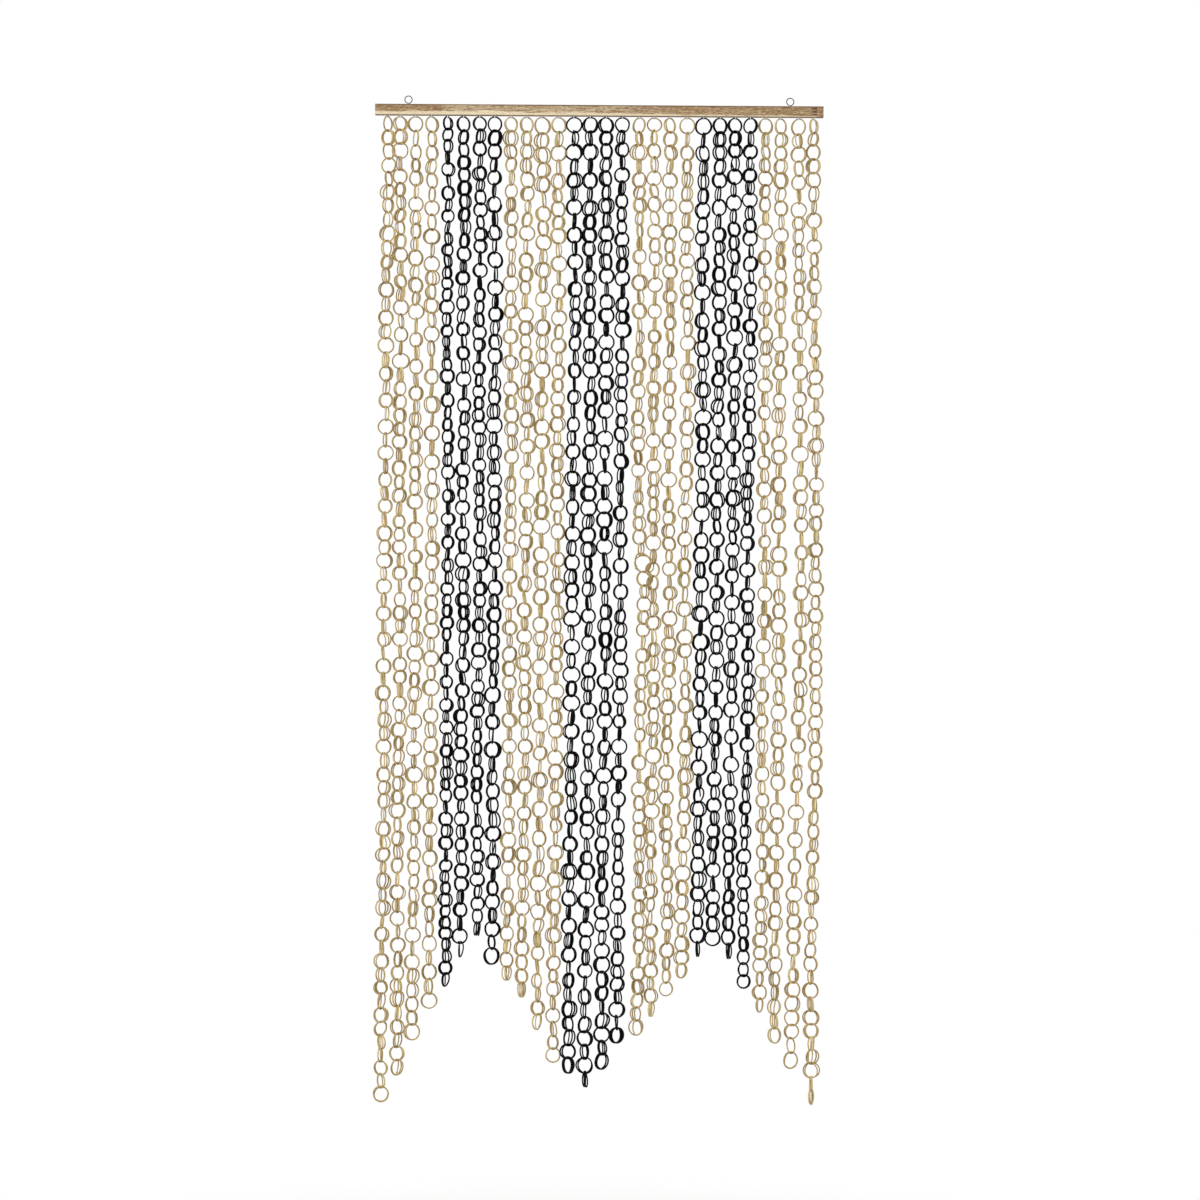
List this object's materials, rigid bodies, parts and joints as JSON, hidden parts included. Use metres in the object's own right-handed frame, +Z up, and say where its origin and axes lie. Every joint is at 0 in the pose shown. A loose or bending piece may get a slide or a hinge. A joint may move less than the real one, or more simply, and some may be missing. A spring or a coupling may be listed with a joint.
{
  "type": "bamboo curtain",
  "caption": "Hanging doorway curtain of bamboo link chains in natural and black, carried by staples under a wooden rail that hangs from screw eyes.",
  "frame": {"origin": "midway between the two hanging eyes, on the line through their centres", "axes": "+X along the rail to the right seen from the front, +Y from front to back, +Z up"},
  "size_m": [0.9, 0.0296, 2.0227],
  "materials": {
    "rail_wood": "satin",
    "steel_wire": "bright",
    "bamboo_natural": "satin",
    "bamboo_black": "satin"
  },
  "bodies": {
    "rail_body": {"rail": "rail_wood", "rail_end_block": "rail_wood", "screw_eyes": "steel_wire", "staples": "steel_wire"},
    "hanging_strand_01": {"head_links_01": "bamboo_natural", "strand_01": "bamboo_natural"},
    "hanging_strand_02": {"head_links_02": "bamboo_natural", "strand_02": "bamboo_natural"},
    "hanging_strand_03": {"head_links_03": "bamboo_natural", "strand_03": "bamboo_natural"},
    "hanging_strand_04": {"head_links_04": "bamboo_natural", "strand_04": "bamboo_natural"},
    "hanging_strand_05": {"head_links_05": "bamboo_black", "strand_05": "bamboo_black"},
    "hanging_strand_06": {"head_links_06": "bamboo_black", "strand_06": "bamboo_black"},
    "hanging_strand_07": {"head_links_07": "bamboo_black", "strand_07": "bamboo_black"},
    "hanging_strand_08": {"head_links_08": "bamboo_black", "strand_08": "bamboo_black"},
    "hanging_strand_09": {"head_links_09": "bamboo_natural", "strand_09": "bamboo_natural"},
    "hanging_strand_10": {"head_links_10": "bamboo_natural", "strand_10": "bamboo_natural"},
    "hanging_strand_11": {"head_links_11": "bamboo_natural", "strand_11": "bamboo_natural"},
    "hanging_strand_12": {"head_links_12": "bamboo_natural", "strand_12": "bamboo_natural"},
    "hanging_strand_13": {"head_links_13": "bamboo_black", "strand_13": "bamboo_black"},
    "hanging_strand_14": {"head_links_14": "bamboo_black", "strand_14": "bamboo_black"},
    "hanging_strand_15": {"head_links_15": "bamboo_black", "strand_15": "bamboo_black"},
    "hanging_strand_16": {"head_links_16": "bamboo_black", "strand_16": "bamboo_black"},
    "hanging_strand_17": {"head_links_17": "bamboo_natural", "strand_17": "bamboo_natural"},
    "hanging_strand_18": {"head_links_18": "bamboo_natural", "strand_18": "bamboo_natural"},
    "hanging_strand_19": {"head_links_19": "bamboo_natural", "strand_19": "bamboo_natural"},
    "hanging_strand_20": {"head_links_20": "bamboo_natural", "strand_20": "bamboo_natural"},
    "hanging_strand_21": {"head_links_21": "bamboo_black", "strand_21": "bamboo_black"},
    "hanging_strand_22": {"head_links_22": "bamboo_black", "strand_22": "bamboo_black"},
    "hanging_strand_23": {"head_links_23": "bamboo_black", "strand_23": "bamboo_black"},
    "hanging_strand_24": {"head_links_24": "bamboo_black", "strand_24": "bamboo_black"},
    "hanging_strand_25": {"head_links_25": "bamboo_natural", "strand_25": "bamboo_natural"},
    "hanging_strand_26": {"head_links_26": "bamboo_natural", "strand_26": "bamboo_natural"},
    "hanging_strand_27": {"head_links_27": "bamboo_natural", "strand_27": "bamboo_natural"},
    "hanging_strand_28": {"head_links_28": "bamboo_natural", "strand_28": "bamboo_natural"}
  },
  "joints": [
    {"name": "swing_01", "type": "hinge", "parent": "rail_body", "child": "hanging_strand_01", "pos_m": [-0.4302, 0, -0.03425], "axis": [1, 0, 0], "range_deg": [-75, 75]},
    {"name": "swing_02", "type": "hinge", "parent": "rail_body", "child": "hanging_strand_02", "pos_m": [-0.39929, 0, -0.03425], "axis": [1, 0, 0], "range_deg": [-75, 75]},
    {"name": "swing_03", "type": "hinge", "parent": "rail_body", "child": "hanging_strand_03", "pos_m": [-0.3687, 0, -0.03425], "axis": [1, 0, 0], "range_deg": [-75, 75]},
    {"name": "swing_04", "type": "hinge", "parent": "rail_body", "child": "hanging_strand_04", "pos_m": [-0.33651, 0, -0.03425], "axis": [1, 0, 0], "range_deg": [-75, 75]},
    {"name": "swing_05", "type": "hinge", "parent": "rail_body", "child": "hanging_strand_05", "pos_m": [-0.30464, 0, -0.03425], "axis": [1, 0, 0], "range_deg": [-75, 75]},
    {"name": "swing_06", "type": "hinge", "parent": "rail_body", "child": "hanging_strand_06", "pos_m": [-0.27246, 0, -0.03425], "axis": [1, 0, 0], "range_deg": [-75, 75]},
    {"name": "swing_07", "type": "hinge", "parent": "rail_body", "child": "hanging_strand_07", "pos_m": [-0.23996, 0, -0.03425], "axis": [1, 0, 0], "range_deg": [-75, 75]},
    {"name": "swing_08", "type": "hinge", "parent": "rail_body", "child": "hanging_strand_08", "pos_m": [-0.20968, 0, -0.03425], "axis": [1, 0, 0], "range_deg": [-75, 75]},
    {"name": "swing_09", "type": "hinge", "parent": "rail_body", "child": "hanging_strand_09", "pos_m": [-0.17686, 0, -0.03425], "axis": [1, 0, 0], "range_deg": [-75, 75]},
    {"name": "swing_10", "type": "hinge", "parent": "rail_body", "child": "hanging_strand_10", "pos_m": [-0.14531, 0, -0.03425], "axis": [1, 0, 0], "range_deg": [-75, 75]},
    {"name": "swing_11", "type": "hinge", "parent": "rail_body", "child": "hanging_strand_11", "pos_m": [-0.11504, 0, -0.03425], "axis": [1, 0, 0], "range_deg": [-75, 75]},
    {"name": "swing_12", "type": "hinge", "parent": "rail_body", "child": "hanging_strand_12", "pos_m": [-0.08126, 0, -0.03425], "axis": [1, 0, 0], "range_deg": [-75, 75]},
    {"name": "swing_13", "type": "hinge", "parent": "rail_body", "child": "hanging_strand_13", "pos_m": [-0.05099, 0, -0.03425], "axis": [1, 0, 0], "range_deg": [-75, 75]},
    {"name": "swing_14", "type": "hinge", "parent": "rail_body", "child": "hanging_strand_14", "pos_m": [-0.01784, 0, -0.03425], "axis": [1, 0, 0], "range_deg": [-75, 75]},
    {"name": "swing_15", "type": "hinge", "parent": "rail_body", "child": "hanging_strand_15", "pos_m": [0.01402, 0, -0.03425], "axis": [1, 0, 0], "range_deg": [-75, 75]},
    {"name": "swing_16", "type": "hinge", "parent": "rail_body", "child": "hanging_strand_16", "pos_m": [0.04652, 0, -0.03425], "axis": [1, 0, 0], "range_deg": [-75, 75]},
    {"name": "swing_17", "type": "hinge", "parent": "rail_body", "child": "hanging_strand_17", "pos_m": [0.0803, 0, -0.03425], "axis": [1, 0, 0], "range_deg": [-75, 75]},
    {"name": "swing_18", "type": "hinge", "parent": "rail_body", "child": "hanging_strand_18", "pos_m": [0.11058, 0, -0.03425], "axis": [1, 0, 0], "range_deg": [-75, 75]},
    {"name": "swing_19", "type": "hinge", "parent": "rail_body", "child": "hanging_strand_19", "pos_m": [0.14244, 0, -0.03425], "axis": [1, 0, 0], "range_deg": [-75, 75]},
    {"name": "swing_20", "type": "hinge", "parent": "rail_body", "child": "hanging_strand_20", "pos_m": [0.17686, 0, -0.03425], "axis": [1, 0, 0], "range_deg": [-75, 75]},
    {"name": "swing_21", "type": "hinge", "parent": "rail_body", "child": "hanging_strand_21", "pos_m": [0.20968, 0, -0.03425], "axis": [1, 0, 0], "range_deg": [-75, 75]},
    {"name": "swing_22", "type": "hinge", "parent": "rail_body", "child": "hanging_strand_22", "pos_m": [0.24282, 0, -0.03425], "axis": [1, 0, 0], "range_deg": [-75, 75]},
    {"name": "swing_23", "type": "hinge", "parent": "rail_body", "child": "hanging_strand_23", "pos_m": [0.2731, 0, -0.03425], "axis": [1, 0, 0], "range_deg": [-75, 75]},
    {"name": "swing_24", "type": "hinge", "parent": "rail_body", "child": "hanging_strand_24", "pos_m": [0.30369, 0, -0.03425], "axis": [1, 0, 0], "range_deg": [-75, 75]},
    {"name": "swing_25", "type": "hinge", "parent": "rail_body", "child": "hanging_strand_25", "pos_m": [0.33428, 0, -0.03425], "axis": [1, 0, 0], "range_deg": [-75, 75]},
    {"name": "swing_26", "type": "hinge", "parent": "rail_body", "child": "hanging_strand_26", "pos_m": [0.36456, 0, -0.03425], "axis": [1, 0, 0], "range_deg": [-75, 75]},
    {"name": "swing_27", "type": "hinge", "parent": "rail_body", "child": "hanging_strand_27", "pos_m": [0.39993, 0, -0.03425], "axis": [1, 0, 0], "range_deg": [-75, 75]},
    {"name": "swing_28", "type": "hinge", "parent": "rail_body", "child": "hanging_strand_28", "pos_m": [0.4302, 0, -0.03425], "axis": [1, 0, 0], "range_deg": [-75, 75]}
  ]
}
